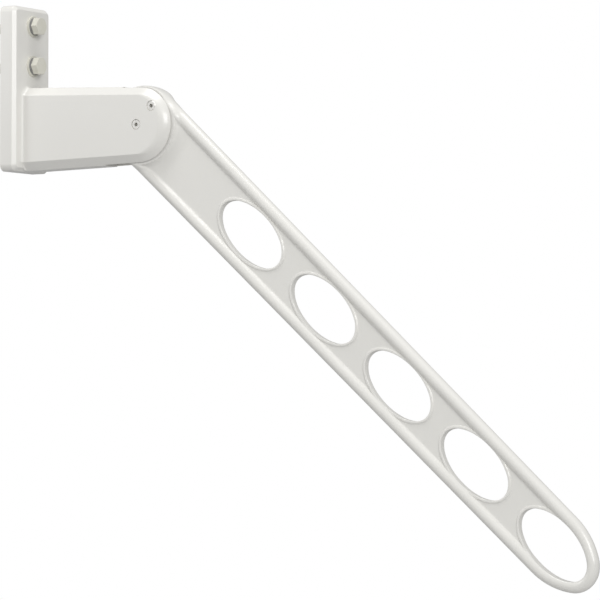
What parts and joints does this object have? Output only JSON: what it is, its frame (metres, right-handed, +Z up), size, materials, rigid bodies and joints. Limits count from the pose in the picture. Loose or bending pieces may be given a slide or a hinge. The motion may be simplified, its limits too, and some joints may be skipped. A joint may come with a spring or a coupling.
{
  "type": "wall mounted fold down drying rack",
  "caption": "Wall bracket with a fold down arm pierced by oval holes for clothes poles, held at any angle by a friction hinge.",
  "frame": {"origin": "on the wall plate's back face, midway between the two wall bolts", "axes": "+X away from the wall, +Y along the wall (the hinge's axis), +Z up; the arm is stored at 42 degrees below horizontal"},
  "size_m": [0.5534, 0.05, 0.4599],
  "materials": {
    "painted_casting": "satin",
    "coated_bolt": "satin",
    "spring_steel": "satin",
    "stainless_pin": "satin",
    "roller_plastic": "satin",
    "bush_bronze": "satin",
    "friction_lining": "matte"
  },
  "bodies": {
    "bracket_body": {"bracket": "painted_casting", "wall_bolt_upper": "coated_bolt", "wall_bolt_lower": "coated_bolt", "flat_washer_upper": "coated_bolt", "flat_washer_lower": "coated_bolt", "spring_washer_upper": "spring_steel", "spring_washer_lower": "spring_steel", "pivot_axle": "stainless_pin", "pivot_insert": "stainless_pin", "pivot_sleeve": "stainless_pin", "stop_pin": "stainless_pin", "stop_insert": "stainless_pin", "stop_roller": "roller_plastic", "disc_spring_outer": "spring_steel", "disc_spring_inner": "spring_steel", "pressure_plate": "stainless_pin", "thrust_washer": "stainless_pin"},
    "arm_body": {"arm": "painted_casting", "arm_bush": "bush_bronze", "friction_facing_near": "friction_lining", "friction_facing_far": "friction_lining"}
  },
  "joints": [
    {"name": "arm_fold", "type": "hinge", "parent": "bracket_body", "child": "arm_body", "pos_m": [0.1235, 0, -0.0685], "axis": [0, -1, 0], "range_deg": [-48, 87]}
  ]
}
